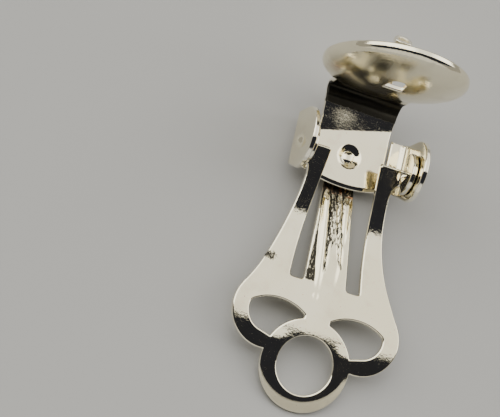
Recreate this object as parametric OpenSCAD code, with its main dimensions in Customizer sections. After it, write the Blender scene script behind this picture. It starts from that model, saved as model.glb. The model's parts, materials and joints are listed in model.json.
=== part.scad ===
// Clip-on earring fitting: a round cup with a peg on a hinge bracket, and a pierced
// trefoil paddle that closes on the ear lobe from behind. Two stamped sheet pieces.
// Millimetres. +Z up, X along the hinge, +Y towards the cup, origin under the middle of the part.

/* [Sheet] */
// Thickness of the stamped sheet
sheet_t = 0.35; // [0.3:0.01:0.42]

/* [Cup] */
// Outer diameter of the round cup
cup_d = 9.0; // [8.4:0.1:10]
// How deep the floor of the cup is dished
cup_sag = 0.75; // [0.5:0.05:1]
// Height of the rim from the back edge of the floor
rim_h = 0.62; // [0.5:0.02:0.8]
// Thickness of the rim
rim_t = 0.26; // [0.2:0.01:0.32]
// Lean of the cup past upright, seen from the bracket
cup_lean = 3.5; // [0:0.5:12]
// Gap between the end of the rim and the neck, on each side
rim_slit = 0.16; // [0.1:0.02:0.3]

/* [Peg] */
// Length of the peg, from its root in the floor to its tip
peg_len = 3.45; // [3:0.05:3.8]
// Angle of the peg above the floor of the cup
peg_angle = 46; // [40:1:55]
// Distance from the root of the peg to the middle of the cup
peg_root = 2.55; // [2.3:0.05:2.8]
// Outside width of the rolled channel at its root
peg_root_w = 1.06; // [0.9:0.02:1.2]
// Outside width of the rolled channel below its tip
peg_tip_w = 0.72; // [0.6:0.02:0.9]
// Wall of the rolled channel
peg_wall = 0.18; // [0.14:0.01:0.22]
// Diameter of the flared tip
peg_head_d = 1.16; // [1:0.02:1.3]
// Height of the flared tip
peg_head_h = 0.3; // [0.2:0.02:0.4]
// Width of the open seam under the peg
peg_seam = 0.22; // [0.14:0.02:0.3]
// Width of the slot that the peg leaves, at its root
slot_root_w = 1.75; // [1.5:0.05:2]
// Width of that slot at its far end
slot_end_w = 1.0; // [0.8:0.05:1.2]

/* [Bracket] */
// Distance between the outer faces of the two ears
bracket_w = 7.7; // [7.4:0.05:8.2]
// Drop from the hinge axis to the inner face of the plate
axis_drop = 1.72; // [1.66:0.02:1.9]
// Inner radius of the bends from the plate into the ears
ear_bend_r = 0.45; // [0.3:0.05:0.5]
// Radius of the ears
ear_r = 1.92; // [1.8:0.02:2.1]
// Middle of the ears in front of the hinge axis
ear_ahead = 0.29; // [0.1:0.01:0.4]
// Middle of the ears above the hinge axis
ear_above = 0.15; // [0:0.01:0.3]
// Radius of the rear edge of the plate
cam_r = 8.0; // [6:0.5:12]
// Distance from the hinge axis back to the rear edge of the plate
cam_back = 1.5; // [1.4:0.02:1.6]
// Width of the neck
neck_w = 4.8; // [4.4:0.1:5.2]
// Distance from the hinge axis to the bend between neck and cup
neck_reach = 4.3; // [4.2:0.05:5]
// Inner radius of the bend between neck and cup
neck_bend_r = 0.3; // [0.2:0.02:0.4]
// Distance along the cup from that bend to the nearest point of the cup's edge
cup_gap = 0.5; // [0.3:0.02:0.6]
// Radius of the corners between neck and plate
neck_fillet = 0.5; // [0.3:0.05:0.7]
// Radius of the dimple pressed out of the plate, at its base
dimple_r = 0.72; // [0.6:0.02:0.8]
// Height of that dimple
dimple_h = 0.36; // [0.25:0.01:0.4]

/* [Hinge] */
// Angle from the open paddle to the plate
open_angle = 5.7; // [4:0.1:7]
// Radius of the lugs on the paddle's arms
lug_r = 1.3; // [1.1:0.02:1.36]
// Side gap between each lug and its ear
lug_gap = 0.05; // [0.03:0.01:0.08]
// Radius of the pivot dimple on a lug, at its base
pivot_r = 0.38; // [0.3:0.01:0.42]
// Height of that pivot dimple
pivot_h = 0.3; // [0.25:0.01:0.34]
// Gap between the pivot dimple and the dimple of the ear around it
pivot_gap = 0.04; // [0.03:0.01:0.06]
// Wall of the ear's dimple
pivot_wall = 0.25; // [0.2:0.01:0.3]

/* [Paddle] */
// Distance from the hinge axis to the middle of the paddle's hole
paddle_len = 12.96; // [12.4:0.05:13.6]
// Diameter of the paddle's round hole
hole_d = 3.56; // [3.4:0.02:4]
// Outer diameter of the ring around that hole
ring_d = 5.72; // [5.4:0.02:6]
// Radius of the two side lobes
lobe_r = 2.35; // [2.2:0.02:2.5]
// Sideways distance from the hole to the middle of a lobe
lobe_x = 3.11; // [3:0.02:3.3]
// Distance from the hole to the middle of a lobe, along the paddle
lobe_y = 2.58; // [2.4:0.02:2.7]
// Width across both arms just below the lugs
arms_top_w = 5.55; // [5.1:0.05:5.7]
// Length of the bent root that joins a lug to its arm
lug_root = 0.9; // [0.7:0.05:1.1]

/* [Tongue] */
// Distance from the hole to the root of the spring tongue
tongue_root = 5.04; // [4.9:0.02:5.3]
// Width of the tongue at its root
tongue_w = 2.8; // [2.6:0.05:2.9]
// Width of the tongue at its tip
tongue_tip_w = 1.74; // [1.5:0.02:2]
// Width of the slot beside the tongue, at the tongue's root
slot_w = 0.92; // [0.8:0.02:1]
// Distance between the arms at their tops
arms_inside = 3.12; // [2.9:0.02:3.3]
// Radius of the bead along the middle of the tongue
bead_r = 0.26; // [0.2:0.01:0.32]
// Radius of the ribs beside the bead
rib_r = 0.11; // [0.08:0.01:0.13]

/* [Bow] */
// Slope of the ring end
ring_slope = 6; // [3:0.5:8]
// Slope between the lobes and the arms
waist_slope = 18; // [16:0.5:20]
// Slope of the arms at the hinge
arm_slope = 6; // [4:0.5:8]
// Radius of the bow over the lobes
lobe_bow_r = 11; // [10:0.5:13]
// Radius of the bow of the arms
arm_bow_r = 9; // [8:0.5:10]

/* [Hidden] */

// Circles and bends
$fn = 96;
// Long enough to pass through the whole part
far = 30;
// Number of flats in a bend
bend_n = 12;

// Cup: spheres that its floor is dished to, whose back meets the level of the neck at floor_r
cup_r = cup_d / 2;
floor_r = cup_r - 0.3;
back_r = (floor_r * floor_r + cup_sag * cup_sag) / (2 * cup_sag);
front_r = back_r - sheet_t;
sphere_z = back_r - cup_sag;
// Height of the floor's front at a distance from the middle of the cup
function floor_z(r) = sphere_z - sqrt(front_r * front_r - r * r);

// Slot that the peg was cut from: its near end lies under the peg
slot_near = peg_root - 0.25;
slot_far = slot_near - 0.9 * peg_len;

// Distance from the middle of the cup to the inner ends of the slits beside the neck
slit_from = 3.45;

// Bracket: ears, plate and neck, measured from the hinge axis
ear_out = bracket_w / 2;
ear_in = ear_out - sheet_t;
plate_z = -axis_drop;
plate_front = ear_ahead + ear_r;
dimple_ahead = 0.47;
dimple_wall = 0.28;
dimple_sphere = (dimple_r * dimple_r + dimple_h * dimple_h) / (2 * dimple_h);
dimple_z = plate_z - sheet_t - dimple_h + dimple_sphere;

// Bend between neck and cup
bend_back = neck_bend_r * (1 - sin(cup_lean)) / cos(cup_lean);
bend_y = neck_reach - bend_back;
cup_offset = cup_gap + cup_r;
cup_y = neck_reach + cup_offset * sin(cup_lean);
cup_z = plate_z + cup_offset * cos(cup_lean);

// Pivots: spheres on the hinge axis that bulge outwards from the lugs
lug_out = ear_in - lug_gap;
lug_in = lug_out - sheet_t;
pivot_sphere = (pivot_r * pivot_r + pivot_h * pivot_h) / (2 * pivot_h);
pivot_x = lug_out + pivot_h - pivot_sphere;

// Paddle: bow of its inner face, seen from the side and measured from the hole
bow_start = 1.2;
p1 = [bow_start, bow_start * tan(ring_slope)];
c1 = p1 + lobe_bow_r * [sin(ring_slope), -cos(ring_slope)];
p2 = c1 + lobe_bow_r * [sin(waist_slope), cos(waist_slope)];
c2 = p2 + arm_bow_r * [sin(waist_slope), cos(waist_slope)];
p3 = c2 + arm_bow_r * [sin(arm_slope), -cos(arm_slope)];
arm_end = paddle_len + 0.25;
arm_z = p3[1] + (paddle_len - p3[0]) * tan(arm_slope);

// Root of a lug: how far behind the hinge axis it starts, its bend and its corner
root_back = lug_root - 0.25;
root_bend_r = 0.12;

// Tongue: straight from the bow, then a toe that passes under the rear edge of the plate
toe_start = paddle_len - 0.6;
toe_end = paddle_len + 0.55;
toe_slope = 9;
toe_r = 2.2;
p4 = p2 + (toe_start - p2[0]) * [1, -tan(waist_slope)];
c4 = p4 + toe_r * [sin(waist_slope), cos(waist_slope)];
p5 = c4 - toe_r * [sin(toe_slope), cos(toe_slope)];
toe_z = p5[1] - (toe_end - p5[0]) * tan(toe_slope);
// Ribs of the tongue, from its middle outwards, and how far the bead runs past its root
rib_x = [-0.76, -0.5, 0.5, 0.76];
// Flat length of the tongue beyond the ribs, where the plate's edge rides over it
rib_clear = 1.6;

// Flank of the paddle: one hollow arc, tangent to the lobe, that ends at the top of the arm
flank_r = 15.6;
flank_end = [arms_top_w / 2, paddle_len - 1.76];
lobe_c = [lobe_x, lobe_y];
// Centre of a circle of radius s through b, at distance r from a, on the right of the way a to b
function meet(a, r, b, s) =
    let (d = norm(b - a), k = (r * r - s * s + d * d) / (2 * d), u = (b - a) / d)
    a + k * u + sqrt(r * r - k * k) * [u[1], -u[0]];
flank_c = meet(lobe_c, flank_r + lobe_r, flank_end, flank_r);
flank_touch = lobe_c + lobe_r * (flank_c - lobe_c) / norm(flank_c - lobe_c);

// Petal-shaped windows: the band round each of them is as wide as the ring's
band = (ring_d - hole_d) / 2;
petal_top_r = 3.0;
petal_top = [lobe_x - 0.53, lobe_y - 2.11];
petal_in = 0.85;
petal_slope = 15;

// Rest on a flat surface: the ring's end and the toe of the tongue touch it
function turned(p, a) = [p[0] * cos(a) - p[1] * sin(a), p[0] * sin(a) + p[1] * cos(a)];
foot_a = [-paddle_len - ring_d / 2, -ring_d / 2 * tan(ring_slope) - sheet_t / cos(ring_slope)];
foot_b = [toe_end - paddle_len, toe_z - sheet_t / cos(toe_slope)];
paddle_tilt = -atan2(foot_b[1] - foot_a[1], foot_b[0] - foot_a[0]);
frame_tilt = paddle_tilt - open_angle;
floor_level = turned(foot_a, paddle_tilt)[1];
back_end = turned(foot_a + [0, sheet_t / cos(ring_slope)], paddle_tilt)[0];
head_edge = [peg_root, floor_z(peg_root) - sheet_t / 2] + turned([peg_head_d / 2, peg_len], 90 - peg_angle);
front_end = turned([cup_y, cup_z] + turned(head_edge, -90 - cup_lean), frame_tilt)[0];
middle = (back_end + front_end) / 2;

// Draws a shape with Y and Z as its axes and carries it along X, w wide
module across(w) {
    rotate([90, 0, 90]) linear_extrude(w, center = true) children();
}

// Draws a shape with X and Z as its axes and carries it along Y, from y0 to y1
module along(y0, y1) {
    translate([0, y1, 0]) rotate([90, 0, 0]) linear_extrude(y1 - y0) children();
}

// Points of an arc about c, in n flats
function arc(c, r, from, to, n = bend_n) =
    [for (i = [0:n]) let (a = from + (to - from) * i / n) c + r * [cos(a), sin(a)]];

// Polygon without the points that two arcs share
module outline(p) {
    last = len(p) - 1;
    polygon([for (i = [0:last]) if (norm(p[i] - p[i == last ? 0 : i + 1]) > 0.001) p[i]]);
}

// Direction from a to b, in degrees
function heading(a, b) = atan2(b[1] - a[1], b[0] - a[0]);

// Point on the outer face of the sheet, below a point of its inner face where it has a slope
function under(p, slope) = p + sheet_t * [sin(slope), -cos(slope)];

// Tray seen from its end: rounded lower corners, open at the top
module tray(w, depth, top, r) {
    for (side = [-1, 1]) translate([side * (w / 2 - r), depth + r]) circle(r);
    translate([-w / 2, depth + r]) square([w, top - depth - r]);
    translate([-w / 2 + r, depth]) square([w - 2 * r, 2 * r]);
}

// Places the cup, drawn front side up with its neck towards +Y, at the end of the neck
module at_cup() {
    translate([0, cup_y, cup_z]) rotate([-90 - cup_lean, 0, 0]) children();
}

// Section of the cup's sheet from the middle outwards: dished floor and raised rim
module cup_profile() {
    middle_up = [0, sphere_z];
    edge_r = sheet_t / 2;
    outline(concat(arc(middle_up, front_r, -90, asin((cup_r - rim_t) / front_r) - 90),
                   [[cup_r - rim_t, rim_h], [cup_r, rim_h]],
                   arc([cup_r - edge_r, edge_r], edge_r, 0, -60, 4),
                   arc(middle_up, back_r, asin(floor_r / back_r) - 90, -90)));
}

// Cup with its slot: the rim stops short of the neck and leaves a slit on each side of it
module cup() {
    gate_w = neck_w + 2 * rim_slit;
    difference() {
        rotate_extrude() cup_profile();
        linear_extrude(far, center = true) slot_outline();
        translate([-gate_w / 2, slit_from, sheet_t]) cube([gate_w, far, far]);
        for (side = [-1, 1])
            translate([side * (neck_w + rim_slit) / 2 - rim_slit / 2, slit_from, -far / 2])
                cube([rim_slit, far, far]);
    }
    difference() {
        translate([-neck_w / 2, slit_from, 0]) cube([neck_w, cup_offset - slit_from, sheet_t]);
        cylinder(h = far, r = cup_r - sheet_t / 2, center = true);
    }
}

// Slot left in the floor where the peg was cut and raised
module slot_outline() {
    polygon([[-slot_root_w / 2, slot_near], [slot_root_w / 2, slot_near],
             [slot_end_w / 2, slot_far], [-slot_end_w / 2, slot_far]]);
    translate([0, slot_far]) circle(d = slot_end_w);
}

// Rolled peg: a tapered tube with a seam along its underside and a flared tip
module peg() {
    intersection() {
        translate([0, peg_root, floor_z(peg_root) - sheet_t / 2]) rotate([90 - peg_angle, 0, 0])
            difference() {
                union() {
                    translate([0, 0, -1]) cylinder(h = peg_len + 1, d1 = peg_root_w, d2 = peg_tip_w);
                    translate([0, 0, peg_len - peg_head_h])
                        cylinder(h = peg_head_h, d1 = peg_tip_w, d2 = peg_head_d);
                }
                translate([0, 0, -2]) cylinder(h = peg_len + 3, d1 = peg_root_w - 2 * peg_wall,
                                               d2 = peg_tip_w - 2 * peg_wall);
                translate([-peg_seam / 2, -far, -2]) cube([peg_seam, far, far]);
            }
        translate([0, 0, sphere_z]) sphere(back_r - sheet_t / 4, $fn = 180);
    }
}

// Side view of the bend between the plate and the cup
module neck_profile() {
    outer_r = neck_bend_r + sheet_t;
    bend_c = [bend_y, plate_z + neck_bend_r];
    end = [neck_reach, plate_z] + cup_gap * [sin(cup_lean), cos(cup_lean)];
    outline(concat([[ear_ahead, plate_z]], arc(bend_c, neck_bend_r, 270, 360 - cup_lean),
                   [end, end + sheet_t * [cos(cup_lean), -sin(cup_lean)]],
                   arc(bend_c, outer_r, 360 - cup_lean, 270), [[ear_ahead, plate_z - sheet_t]]));
}

// Plan of the plate: curved rear edge, ears' sides and rounded corners to the neck
module bracket_plan() {
    rear = asin((ear_in - ear_bend_r) / cam_r);
    ear_rear = ear_ahead - ear_r;
    corner = [neck_w / 2 + neck_fillet, plate_front + neck_fillet];
    fillet = arc(corner, neck_fillet, -90, -180, 6);
    outline(concat([[-ear_out, ear_rear], [-ear_in, ear_rear]],
                   arc([0, cam_r - cam_back], cam_r, -90 - rear, -90 + rear, 24),
                   [[ear_in, ear_rear], [ear_out, ear_rear], [ear_out, plate_front]],
                   fillet, mirrored(fillet), [[-ear_out, plate_front]]));
}

// Side view of the ears: round tops on sides that run down to the plate
module ear_outline() {
    reach = 2 * bracket_w;
    straight_to = plate_z + ear_bend_r;
    outline(concat(arc([ear_ahead, ear_above], ear_r, 0, 180, 40),
                   [[ear_ahead - ear_r, straight_to], [-reach, straight_to], [-reach, -reach],
                    [reach, -reach], [reach, straight_to], [ear_ahead + ear_r, straight_to]]));
}

// Plate with its two ears, folded from one sheet
module bracket() {
    intersection() {
        along(-far, far) difference() {
            tray(bracket_w, plate_z - sheet_t, 2 * ear_r, ear_bend_r + sheet_t);
            tray(bracket_w - 2 * sheet_t, plate_z, 3 * ear_r, ear_bend_r);
        }
        across(2 * bracket_w) ear_outline();
        linear_extrude(far, center = true) bracket_plan();
    }
}

// Sphere on the hinge axis, for the pivots of one side
module pivot_ball(side, r) {
    translate([side * pivot_x, 0, 0]) rotate([0, 90, 0]) sphere(r);
}

// Cup, peg, neck and hinge bracket, stamped from one sheet
module cup_frame() {
    color("silver") at_rest(frame_tilt) difference() {
        union() {
            at_cup() {
                cup();
                peg();
            }
            across(neck_w) neck_profile();
            bracket();
            translate([0, dimple_ahead, dimple_z]) intersection() {
                sphere(dimple_sphere);
                translate([-far / 2, -far / 2, plate_z - dimple_z - far]) cube(far);
            }
            for (side = [-1, 1]) intersection() {
                pivot_ball(side, pivot_sphere + pivot_gap + pivot_wall);
                translate([side * (ear_in + sheet_t / 2 + far / 2), 0, 0]) cube(far, center = true);
            }
        }
        translate([0, dimple_ahead, dimple_z]) sphere(dimple_sphere - dimple_wall);
        for (side = [-1, 1]) pivot_ball(side, pivot_sphere + pivot_gap);
    }
}

// Side view of the paddle from the ring over the bow to the ends of the arms
module bow_profile() {
    ring_out = p1 - far * [cos(ring_slope), sin(ring_slope)];
    arm_out = p3 + far * [cos(arm_slope), sin(arm_slope)];
    outline(concat([ring_out], arc(c1, lobe_bow_r, 90 + ring_slope, 90 - waist_slope),
                   arc(c2, arm_bow_r, 270 - waist_slope, 270 + arm_slope),
                   [arm_out, under(arm_out, arm_slope)],
                   arc(c2, arm_bow_r + sheet_t, 270 + arm_slope, 270 - waist_slope),
                   arc(c1, lobe_bow_r - sheet_t, 90 - waist_slope, 90 + ring_slope),
                   [under(ring_out, ring_slope)]));
}

// Side view of the spring tongue, from the bow to the tip of its toe
module tongue_profile() {
    tip = [toe_end, toe_z];
    outline(concat(arc(c1, lobe_bow_r, 90, 90 - waist_slope),
                   arc(c4, toe_r, 270 - waist_slope, 270 - toe_slope),
                   [tip, under(tip, -toe_slope)],
                   arc(c4, toe_r + sheet_t, 270 - toe_slope, 270 - waist_slope),
                   arc(c1, lobe_bow_r - sheet_t, 90 - waist_slope, 90)));
}

// Right half of the paddle's outline: ring, lobe, and the hollow flank up to the end of the arm
function half_outline() =
    let (crossing = meet([0, 0], ring_d / 2, lobe_c, lobe_r),
         top_angle = 180 - asin((arm_end - flank_c[1]) / flank_r))
    concat(arc([0, 0], ring_d / 2, -90, heading([0, 0], crossing), 24),
           arc(lobe_c, lobe_r, heading(lobe_c, crossing), heading(lobe_c, flank_c), 40),
           arc(flank_c, flank_r, heading(flank_c, lobe_c) + 360, top_angle, 24));

// Points of an outline mirrored to the left half, in the opposite order
function mirrored(points) = [for (i = [len(points) - 1:-1:0]) [-points[i][0], points[i][1]]];

// Petal-shaped window between the ring and a lobe
module petal() {
    lobe_in = lobe_r - band;
    tangent_from = lobe_c + lobe_in * [sin(petal_slope), -cos(petal_slope)];
    below = tangent_from[1] - (tangent_from[0] - petal_in) * tan(petal_slope);
    difference() {
        intersection() {
            translate(petal_top) circle(petal_top_r);
            outline(concat(arc(lobe_c, lobe_in, petal_slope - 90, petal_slope + 90, 24),
                           [[petal_in, 2 * lobe_y], [petal_in, below]]));
        }
        circle(d = ring_d);
    }
}

// Opening between the two arms, which holds the tongue and its slots
module arms_gap() {
    wide = tongue_w / 2 + slot_w;
    polygon([[-wide, tongue_root], [wide, tongue_root],
             [arms_inside / 2, arm_end + 1], [-arms_inside / 2, arm_end + 1]]);
}

// Plan of the tongue
module tongue_plan() {
    polygon([[-tongue_w / 2, tongue_root - 0.2], [tongue_w / 2, tongue_root - 0.2],
             [tongue_tip_w / 2, toe_end], [-tongue_tip_w / 2, toe_end]]);
}

// Raised rib along the tongue, from the slots to the toe
module rib(x, r, from) {
    along_tongue = [cos(waist_slope), -sin(waist_slope)];
    start = p2 + from * along_tongue;
    translate([x, start[0], start[1]]) rotate([-90 - waist_slope, 0, 0])
        rotate(90) cylinder(h = norm(p4 - p2) - from - rib_clear, r = r);
}

// Lug of one side, with its bent root and its pivot dimple, placed from the hinge axis
module lug(side) {
    bottom = arm_z - sheet_t / cos(arm_slope);
    intersection() {
        translate([side * (lug_in + lug_out) / 2, 0, 0]) rotate([0, 90, 0])
            cylinder(h = sheet_t, r = lug_r, center = true);
        translate([-far / 2, -far / 2, bottom + root_bend_r + sheet_t]) cube(far);
    }
    intersection() {
        along(-root_back, arm_end - paddle_len) difference() {
            tray(2 * lug_out, bottom, lug_r / 2, root_bend_r + sheet_t);
            tray(2 * lug_in, bottom + sheet_t, lug_r, root_bend_r);
        }
        translate([side * (far / 2 + arms_top_w / 2 - sheet_t), 0, 0]) cube([far, far, far], center = true);
    }
    intersection() {
        pivot_ball(side, pivot_sphere);
        translate([side * (lug_in + far / 2), 0, 0]) cube(far, center = true);
    }
}

// Trefoil paddle with two arms and a spring tongue, stamped from one sheet
module clip_paddle() {
    color("lightgray") at_rest(paddle_tilt) {
        translate([0, -paddle_len, 0]) {
            difference() {
                intersection() {
                    across(far) bow_profile();
                    linear_extrude(far, center = true) difference() {
                        outline(concat(half_outline(), mirrored(half_outline())));
                        for (side = [0, 1]) mirror([side, 0]) petal();
                        arms_gap();
                    }
                }
                rotate([ring_slope, 0, 0]) cylinder(h = 2, d = hole_d, center = true);
            }
            intersection() {
                across(far) tongue_profile();
                linear_extrude(far, center = true) tongue_plan();
            }
            rib(0, bead_r, 0.15);
            for (x = rib_x) rib(x, rib_r, 0.4);
        }
        for (side = [-1, 1]) lug(side);
    }
}

// Turns a piece about the hinge axis by its tilt and sets the part down on the surface
module at_rest(tilt) {
    translate([0, -middle, -floor_level]) rotate([tilt, 0, 0]) children();
}

cup_frame();
clip_paddle();
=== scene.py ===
"""Looks of a clip-on earring finding: two silver-plated stampings of thin sheet, hinged to each other.

Lengths are in millimetres and angles in degrees until a mesh is made. Each stamping is cut to an
outline in a flat blank (u, v) and then formed: a place function says where the middle of the sheet
goes, and depth functions say how far a point of the blank lies inside the outline.
"""

import json
import math
import bpy
import numpy as np
from mathutils import Matrix


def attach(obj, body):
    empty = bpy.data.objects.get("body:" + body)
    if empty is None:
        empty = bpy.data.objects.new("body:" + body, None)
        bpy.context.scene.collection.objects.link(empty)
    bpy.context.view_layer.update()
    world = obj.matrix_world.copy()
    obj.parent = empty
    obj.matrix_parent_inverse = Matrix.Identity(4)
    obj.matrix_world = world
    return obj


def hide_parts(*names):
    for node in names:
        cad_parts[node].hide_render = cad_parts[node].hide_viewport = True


MM = 0.001
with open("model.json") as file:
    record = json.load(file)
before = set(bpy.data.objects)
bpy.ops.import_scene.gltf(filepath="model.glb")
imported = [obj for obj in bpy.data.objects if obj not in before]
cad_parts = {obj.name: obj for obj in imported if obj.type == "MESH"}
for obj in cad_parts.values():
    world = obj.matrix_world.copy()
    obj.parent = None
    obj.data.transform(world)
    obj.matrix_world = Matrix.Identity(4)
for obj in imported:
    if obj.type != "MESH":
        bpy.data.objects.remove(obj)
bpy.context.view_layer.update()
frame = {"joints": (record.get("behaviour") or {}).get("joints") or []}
HINGE = np.array(frame["joints"][0]["pos_m"]) / MM

# Sheet
SHEET = 0.35
EDGE = 0.11
# Cup: dished disc with a raised rim
CUP_R = 4.5
CUP_SAG = 0.75
CUP_FLAT_R = 4.2
RIM_H = 0.62
RIM_T = 0.26
RIM_BEND_R = 0.22
CUP_LEAN = 3.5
SLIT = 0.16
SLIT_FROM = 3.2
# Peg, and the slot that it was cut from
PEG_LEN = 3.45
PEG_ANGLE = 46.0
PEG_ROOT = 2.55
PEG_ROOT_R = 0.53
PEG_TIP_R = 0.36
PEG_WALL = 0.18
PEG_HEAD_R = 0.58
PEG_HEAD_H = 0.3
SLOT_NEAR = 2.3
SLOT_FAR = SLOT_NEAR - 0.9 * PEG_LEN
SLOT_NEAR_HALF = 0.875
SLOT_FAR_HALF = 0.5
# Bracket, measured from the hinge axis
EAR_OUT = 3.85
AXIS_DROP = 1.72
EAR_BEND_R = 0.45
EAR_R = 1.92
EAR_AHEAD = 0.29
EAR_ABOVE = 0.15
CAM_R = 8.0
CAM_BACK = 1.5
CAM_ROUND = 0.33
CAM_ROUND_DEEP = 0.62
CAM_ROUND_PAST = 0.4
CUP_GAP = 0.5
NECK_TOP_HALF = 2.52
NECK_LOW_HALF = 2.32
NECK_REACH = 4.3
NECK_BEND_R = 0.7
NECK_FILLET = 0.5
# The neck rises from the plate, from a line that runs a little askew, and its bend takes the rise up
NECK_RISES_AT = 2.11
NECK_SKEW = 0.27
NECK_SKEW_TO = 2.5
NECK_SLOPE = 12.0
NECK_RISE_ROUND = 0.08
NECK_RISE_SHARE = 0.7
# Round recess in the plate
DIMPLE_AHEAD = 0.47
DIMPLE_R = 0.86
DIMPLE_FLAT_R = 0.36
DIMPLE_H = 0.17
DIMPLE_DOME = 0.07
# Pivots, pressed outwards in the lugs and a little wider in the ears
PIVOT_R = 0.5
PIVOT_PLAY = 0.08
PIVOT_H = 0.33
# Paddle, measured from the middle of its hole
PADDLE_LEN = 12.96
HOLE_R = 1.78
RING_R = 2.86
LOBE = np.array([3.11, 2.58])
LOBE_R = 2.35
LOBE_IN = LOBE_R - (RING_R - HOLE_R)
FLANK_R = 15.6
FLANK_END = np.array([2.775, 11.2])
ARM_END = PADDLE_LEN + 0.25
ARM_IN_ROOT = 2.32
ARM_IN_END = 1.56
ARM_IN_TO = ARM_END + 1
TONGUE_ROOT = 5.04
TONGUE_HALF = 1.4
TONGUE_TIP_HALF = 0.87
TOE_START = PADDLE_LEN - 0.6
TOE_END = PADDLE_LEN + 0.55
PETAL_TOP = np.array([2.58, 0.47])
PETAL_TOP_R = 3.0
PETAL_IN = 0.85
PETAL_SLOPE = 15.0
LUG_R = 1.3
LUG_GAP = 0.05
LUG_BEND_R = 0.12
LUG_ROOT = 0.65
LUG_FILLET = 1.1
# Corners of the blanks, as the lengths over which they are eased
SHARP = 0.05
HOLE_CORNER = 0.02
SLIT_CORNER = 0.03
SLOT_CORNER = 0.08
PETAL_POINT = 0.06
PETAL_CORNER = 0.1
LOBE_CORNER = 0.12
GAP_CORNER = 0.3
TOE_CORNER = 0.35
# How far a shape runs on under the one that it joins
OVERLAP = 1.0
LUG_OVERLAP = 0.2
EAR_OVERLAP_TO = 2.0
# Bow of the paddle from the side: slopes and bend radii of its inner face
RING_SLOPE = 6.0
WAIST_SLOPE = 18.0
ARM_SLOPE = 6.0
TOE_SLOPE = 9.0
BOW_START = 1.2
LOBE_BOW_R = 11.0
ARM_BOW_R = 9.0
TOE_BEND_R = 2.2
OPEN_ANGLE = 5.7


def sind(a):
    return math.sin(math.radians(a))


def cosd(a):
    return math.cos(math.radians(a))


# Outlines: a depth is positive inside a shape, and is the distance to its edge

def both(*depths):
    """Where all the shapes overlap: the smallest depth."""
    return np.minimum.reduce(depths)


def either(*depths):
    """The shapes together: the largest depth."""
    return np.maximum.reduce(depths)


def blended(a, b, k):
    """The two shapes together, with the corners between them filled over a length k by a parabola."""
    h = np.clip(k - np.abs(a - b), 0, None) / k
    return np.maximum(a, b) + h * h * k / 4


def cut(a, b, k):
    """Shape a without b, with the corners between them eased over a length k."""
    return -blended(-a, b, k)


def disc(p, centre, r):
    return r - np.hypot(p[:, 0] - centre[0], p[:, 1] - centre[1])


def side_of(p, point, slope):
    """Height above a line through a point, at an angle to the u axis."""
    return (p[:, 1] - point[1]) * cosd(slope) - (p[:, 0] - point[0]) * sind(slope)


def mirrored(p):
    return np.column_stack([np.abs(p[:, 0]), p[:, 1]])


def smooth_step(x):
    x = np.clip(x, 0, 1)
    return x * x * (3 - 2 * x)


def dome(r, base, height):
    """Pressed dimple at distance r from its middle: a cosine that is level on top and at its foot."""
    return height * 0.5 * (1 + np.cos(np.pi * np.clip(r / base, 0, 1)))


def turned(p, angle):
    """Points or directions turned about X by an angle."""
    c, s = cosd(angle), sind(angle)
    return np.stack([p[..., 0], p[..., 1] * c - p[..., 2] * s, p[..., 1] * s + p[..., 2] * c], -1)


def unit(v):
    return v / np.maximum(np.linalg.norm(v, axis=-1, keepdims=True), 1e-12)


def fading_in(x, start, over):
    """0 up to a start, 1 from a length past it."""
    return smooth_step((x - start) / over)


# Side views: a profile is a height along v, from slopes that change evenly in their sine between stations

PROFILE_FROM = -4
PROFILE_TO = 16
PROFILE_POINTS = 8001
PROFILE_EASE = 80


class Profile:
    """Heights and slopes on fine steps; the slopes are averaged over a number of steps to each side."""

    def __init__(self, stations):
        at = np.linspace(PROFILE_FROM, PROFILE_TO, PROFILE_POINTS)
        sine = np.interp(at, [y for y, slope in stations], [sind(slope) for y, slope in stations])
        ease = np.hanning(2 * PROFILE_EASE + 1)
        sine = np.convolve(np.pad(sine, PROFILE_EASE, mode="edge"), ease / ease.sum(), mode="valid")
        slope = sine / np.sqrt(1 - sine ** 2)
        height = np.concatenate([[0], np.cumsum((slope[1:] + slope[:-1]) / 2 * np.diff(at))])
        self.at, self.slope = at, slope
        self.height = height - np.interp(0, at, height)

    def __call__(self, y):
        return np.interp(y, self.at, self.height)

    def angle(self, y):
        return np.arctan(np.interp(y, self.at, self.slope))


LOBE_BOW_END = BOW_START + LOBE_BOW_R * (sind(RING_SLOPE) + sind(WAIST_SLOPE))
ARM_BOW_END = LOBE_BOW_END + ARM_BOW_R * (sind(WAIST_SLOPE) + sind(ARM_SLOPE))
TOE_BOW_END = TOE_START + TOE_BEND_R * (sind(WAIST_SLOPE) - sind(TOE_SLOPE))
BOW = [(BOW_START, RING_SLOPE), (LOBE_BOW_END, -WAIST_SLOPE)]
arm_side = Profile(BOW + [(ARM_BOW_END, ARM_SLOPE)])
tongue_side = Profile(BOW + [(TOE_START, -WAIST_SLOPE), (TOE_BOW_END, -TOE_SLOPE)])
# The finding rests on the end of the ring and the tip of the toe
RING_UNDER = arm_side(-RING_R) - SHEET / cosd(RING_SLOPE)
TOE_UNDER = tongue_side(TOE_END) - SHEET / cosd(TOE_SLOPE)
REST_DROP = RING_UNDER - TOE_UNDER
PADDLE_TILT = math.degrees(math.atan2(REST_DROP, TOE_END + RING_R))
FRONT_TILT = PADDLE_TILT - OPEN_ANGLE


# Paddle

def arm_inner(y):
    """Half the gap between the arms at a height y."""
    share = (y - TONGUE_ROOT) / (ARM_IN_TO - TONGUE_ROOT)
    return ARM_IN_ROOT + share * (ARM_IN_END - ARM_IN_ROOT)


def tongue_outer(y):
    """Half the width of the tongue at a height y."""
    share = (y - TONGUE_ROOT) / (TOE_END - TONGUE_ROOT)
    return TONGUE_HALF + share * (TONGUE_TIP_HALF - TONGUE_HALF)


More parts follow.
